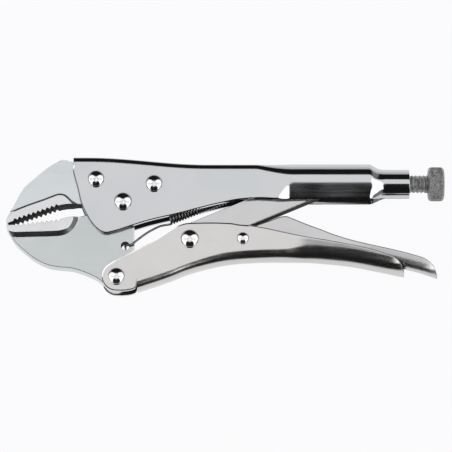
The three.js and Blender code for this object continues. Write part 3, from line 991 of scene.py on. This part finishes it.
def make_rivets():
    heads = (
        ("front_jaw_rivet_heads", "jaw_rivet_front", 4.5, 2.1, FIXED_HALF, "fixed_handle"),
        ("rear_jaw_rivet_heads", "jaw_rivet_rear", 4.6, 2.1, FIXED_HALF, "fixed_handle"),
        ("jaw_pivot_heads", "jaw_pivot_rivet", 4.8, 2.15, FIXED_HALF, "fixed_handle"),
        ("handle_pivot_heads", "handle_pivot_rivet", 4.5, 2.2, MOVING_HALF, "moving_jaw"),
        ("link_pivot_heads", "link_pivot_rivet", 4.9, 2.2, MOVING_HALF, "moving_handle"),
        ("lever_pin_heads", "release_lever_pin", 3.2, 1.6, MOVING_HALF, "moving_handle"),
    )
    for name, node, radius, height, wall_half, body in heads:
        rivet = peened_rivet(name, node, radius, height, wall_half)
        add_piece(rivet, body, "rivet_steel", RIVET_STEEL, node)


# ---------------------------------------------------------------- screw and knob

def make_screw():
    sides, per_turn = 60, 12
    rows = int((KNOB_START - 0.1 - SCREW_TIP) / SCREW_PITCH * per_turn)
    points, faces = [], []
    for r in range(rows + 1):
        x = SCREW_TIP + (KNOB_START - 0.1 - SCREW_TIP) * r / rows
        run_out = 1 - smoothstep(x, KNOB_START - 1.3, KNOB_START - 0.7)
        cut = THREAD_DEPTH * min(smoothstep(x, SCREW_TIP, SCREW_TIP + 1.6), run_out)
        chamfer = 1.1 * (1 - smoothstep(x, SCREW_TIP, SCREW_TIP + 1.4))
        for k in range(sides):
            phase = ((x - SCREW_TIP) / SCREW_PITCH - k / sides) % 1.0
            flank = min(max(abs(2 * phase - 1) * 1.35 - 0.12, 0.0), 1.0)
            radius = SCREW_RADIUS - cut * (1 - flank) - chamfer
            angle = 2 * math.pi * k / sides
            points.append((x, radius * math.cos(angle), radius * math.sin(angle)))
    for r in range(rows):
        for k in range(sides):
            j = (k + 1) % sides
            faces.append((r * sides + k, r * sides + j, (r + 1) * sides + j, (r + 1) * sides + k))
    faces.append(tuple(reversed(range(sides))))
    faces.append(tuple(range(rows * sides, (rows + 1) * sides)))
    screw = new_object("threaded_shank", points, faces)
    smooth_by_angle(screw, 40)
    add_piece(screw, "knob", "screw_steel", SCREW_STEEL, "adjusting_screw")


def make_knob():
    sides, rows, knurls = 312, 44, 52
    length = KNOB_END - KNOB_START
    edge = 2.1
    rings = [(0.0, 0.0, 0.0), (0.0, KNOB_RADIUS - edge - 0.2, 0.0)]
    for i in range(rows + 1):
        x = length * i / rows
        corner = max(edge - x, x - (length - edge), 0.0)
        drop = edge - math.sqrt(max(edge * edge - corner * corner, 0.0))
        grip = 1 - smoothstep(corner, 0.25, 1.0)
        rings.append((x, KNOB_RADIUS - drop, grip))
    rings += [(length, KNOB_RADIUS - edge - 0.5, 0.0), (length - 0.35, KNOB_RADIUS - edge - 1.2, 0.0),
              (length - 0.35, 0.0, 0.0)]
    points, faces = [], []
    for x, radius, grip in rings:
        for k in range(sides):
            turn = k / sides
            one = abs(2 * ((turn * knurls + x * KNURL_SLANT) % 1) - 1)
            two = abs(2 * ((turn * knurls - x * KNURL_SLANT) % 1) - 1)
            reach = max(radius - KNURL_DEPTH * grip * (1 - min(one, two)), 0.02)
            angle = 2 * math.pi * turn
            points.append((KNOB_START + x, reach * math.cos(angle), reach * math.sin(angle)))
    for r in range(len(rings) - 1):
        for k in range(sides):
            j = (k + 1) % sides
            faces.append((r * sides + k, r * sides + j, (r + 1) * sides + j, (r + 1) * sides + k))
    faces.append(tuple(reversed(range(sides))))
    faces.append(tuple(range((len(rings) - 1) * sides, len(rings) * sides)))
    knob = new_object("knurled_knob", points, faces)
    smooth_by_angle(knob, 60)
    add_piece(knob, "knob", "screw_steel", SCREW_STEEL, "screw_knob")


# ---------------------------------------------------------------- spring

def tube(name, path, radius, sides=10):
    """A closed wire of the given radius along a list of (x, y, z)."""
    line = [Vector(p) for p in path]
    points, faces = [], []
    normal = None
    for i, here in enumerate(line):
        ahead = (line[min(i + 1, len(line) - 1)] - line[max(i - 1, 0)]).normalized()
        if normal is None:
            normal = ahead.orthogonal().normalized()
        normal = (normal - ahead * normal.dot(ahead)).normalized()
        other = ahead.cross(normal)
        for k in range(sides):
            angle = 2 * math.pi * k / sides
            points.append(tuple(here + (normal * math.cos(angle) + other * math.sin(angle)) * radius))
    for i in range(len(line) - 1):
        for k in range(sides):
            j = (k + 1) % sides
            faces.append((i * sides + k, i * sides + j, (i + 1) * sides + j, (i + 1) * sides + k))
    faces.append(tuple(reversed(range(sides))))
    faces.append(tuple(range((len(line) - 1) * sides, len(line) * sides)))
    return new_object(name, points, faces)


def make_spring():
    front, rear = Vector((86.3, -19.1, 0)), Vector((115.5, -7.5, 0))
    axis = (rear - front).normalized()
    across = Vector((-axis.y, axis.x, 0))
    mean = SPRING_OUTER - SPRING_WIRE
    coil = []
    per_turn = 18
    first_angle, last_angle = -0.5 * math.pi, 0.5 * math.pi
    sweep = 2 * math.pi * SPRING_TURNS + last_angle - first_angle
    for i in range(SPRING_TURNS * per_turn + 1):
        share = i / (SPRING_TURNS * per_turn)
        angle = first_angle + sweep * share
        centre = front.lerp(rear, share)
        coil.append(centre + across * (mean * math.sin(angle)) + Vector((0, 0, mean * math.cos(angle))))
    face = JAW_HALF + 0.95
    lead = [
        (SPRING_EYE[0], SPRING_EYE[1], -3.6), (SPRING_EYE[0], SPRING_EYE[1], 0.0),
        (SPRING_EYE[0], SPRING_EYE[1], 2.6), (63.4, -34.3, 4.2), (64.4, -34.2, face), (66.6, -33.7, face),
        (69.6, -31.2, face - 0.4), (73, -28.4, 4.0), (76.4, -26.0, 3.3), (81.4, -23.1, 1.7),
    ]
    tail = [
        (117.5, -5.2, 0.6), (120.5, -3.0, 0.2), (123.5, -0.6, 0), (126, 0.9, 0), (129, 1.0, 0),
        (131.3, 1.0, 0),
    ]
    smooth_lead = rounded(lead + [tuple(coil[0]), tuple(coil[3])], 5)[:-5]
    smooth_tail = rounded([tuple(coil[-4]), tuple(coil[-1])] + tail, 5)[5:]
    path = smooth_lead[:-1] + [tuple(p) for p in coil] + smooth_tail[1:]
    spring = tube("jaw_spring_coil", path, SPRING_WIRE, 10)
    spring.data.materials.append(SPRING_STEEL)
    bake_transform(spring)
    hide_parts("jaw_spring")


# ---------------------------------------------------------------- stage

def make_floor():
    """White paper that glows evenly, so that the tool stands on pure white without a shadow."""
    mesh = bpy.data.meshes.new("floor")
    reach = 3.0
    corners = [(-reach, -reach, 0), (reach, -reach, 0), (reach, reach, 0), (-reach, reach, 0)]
    mesh.from_pydata(corners, [], [(0, 1, 2, 3)])
    floor = bpy.data.objects.new("floor", mesh)
    bpy.context.scene.collection.objects.link(floor)
    material = bpy.data.materials.new("white_paper")
    material.use_nodes = True
    shader = material.node_tree.nodes["Principled BSDF"]
    shader.inputs["Base Color"].default_value = (0.04, 0.04, 0.04, 1)
    shader.inputs["Roughness"].default_value = 1.0
    shader.inputs["Specular IOR Level"].default_value = 0.0
    shader.inputs["Emission Color"].default_value = (0.985, 0.985, 1.0, 1)
    shader.inputs["Emission Strength"].default_value = 0.955
    mesh.materials.append(material)


# Brightness of the surroundings
BOX_LEVEL = 1.05
WING_LEVEL = 1.85
COVE_LEVEL = 0.70
END_LEVEL = 0.26
DARK_LEVEL = 0.012


def make_world():
    """The light, and the studio surroundings seen in the metal: a softbox overhead, a brighter wing
    at each of its ends, grey walls beyond both ends of the tool, and a pale cove near the horizon,
    with dark between them."""
    world = bpy.data.worlds.new("studio")
    bpy.context.scene.world = world
    world.use_nodes = True
    tree = world.node_tree
    tree.nodes.clear()

    def add(kind, **settings):
        node = tree.nodes.new(kind)
        for key, value in settings.items():
            setattr(node, key, value)
        return node

    def link(source, target):
        tree.links.new(source, target)

    def calc(operation, a, b=0.0):
        node = add("ShaderNodeMath", operation=operation)
        for socket, value in zip(node.inputs, (a, b)):
            if isinstance(value, (int, float)):
                socket.default_value = value
            else:
                link(value, socket)
        return node.outputs["Value"]

    def fade(value, full, none):
        node = add("ShaderNodeMapRange", interpolation_type="SMOOTHSTEP")
        link(value, node.inputs["Value"])
        node.inputs["From Min"].default_value = full
        node.inputs["From Max"].default_value = none
        node.inputs["To Min"].default_value = 1.0
        node.inputs["To Max"].default_value = 0.0
        return node.outputs["Result"]

    split = add("ShaderNodeSeparateXYZ")
    link(add("ShaderNodeTexCoord").outputs["Generated"], split.inputs["Vector"])
    x, y, z = (split.outputs[name] for name in "XYZ")
    # The box and the wings are drawn on a plane overhead, where a direction meets it.
    height = calc("MAXIMUM", z, 0.02)
    across = calc("DIVIDE", y, height)
    along = calc("ABSOLUTE", calc("DIVIDE", x, height))
    box = calc("MULTIPLY", fade(calc("ABSOLUTE", calc("SUBTRACT", across, 0.20)), 0.24, 0.34),
               fade(along, 0.5, 0.9))
    fan = calc("SUBTRACT", along, calc("MULTIPLY", calc("ABSOLUTE", across), 0.3))
    wings = calc("MULTIPLY", fade(calc("ABSOLUTE", calc("ADD", across, 0.30)), 0.55, 0.70),
                 fade(calc("ABSOLUTE", calc("SUBTRACT", fan, 0.51)), 0.31, 0.36))
    cove = fade(calc("SUBTRACT", z, calc("MULTIPLY", y, 0.114)), 0.17, 0.29)
    ends = fade(calc("ABSOLUTE", x), 0.55, 0.35)
    glow = calc("MAXIMUM", calc("MULTIPLY", box, BOX_LEVEL), calc("MULTIPLY", cove, COVE_LEVEL))
    glow = calc("MAXIMUM", glow, calc("MULTIPLY", ends, END_LEVEL))
    glow = calc("MAXIMUM", glow, calc("MULTIPLY", wings, WING_LEVEL))
    level = calc("MAXIMUM", glow, DARK_LEVEL)
    background = add("ShaderNodeBackground")
    background.inputs["Color"].default_value = (0.985, 0.99, 1.0, 1)
    link(level, background.inputs["Strength"])
    output = add("ShaderNodeOutputWorld")
    link(background.outputs["Background"], output.inputs["Surface"])


def make_camera():
    """Above the side, tilted 14 degrees towards the moving handle, at the picture's framing."""
    tilt = math.radians(14)
    distance = 2.0
    frame_width = 0.2369
    low, high = cad_bounds
    target = Vector((0.0004, 0.0003, (low[2] + high[2]) / 2))
    data = bpy.data.cameras.new("camera")
    data.sensor_width = 36
    data.lens = data.sensor_width * distance / frame_width
    camera = bpy.data.objects.new("camera", data)
    camera.location = target + Vector((0, -math.sin(tilt), math.cos(tilt))) * distance
    camera.rotation_euler = (tilt, 0, 0)
    bpy.context.scene.collection.objects.link(camera)
    bpy.context.scene.camera = camera
    bpy.context.scene.view_settings.view_transform = "Standard"


make_camera()
make_world()
make_floor()
make_fixed_handle()
make_upper_jaw()
make_lower_jaw()
make_moving_handle()
make_toggle_link()
make_release_lever()
make_rivets()
make_spring()
make_screw()
make_knob()
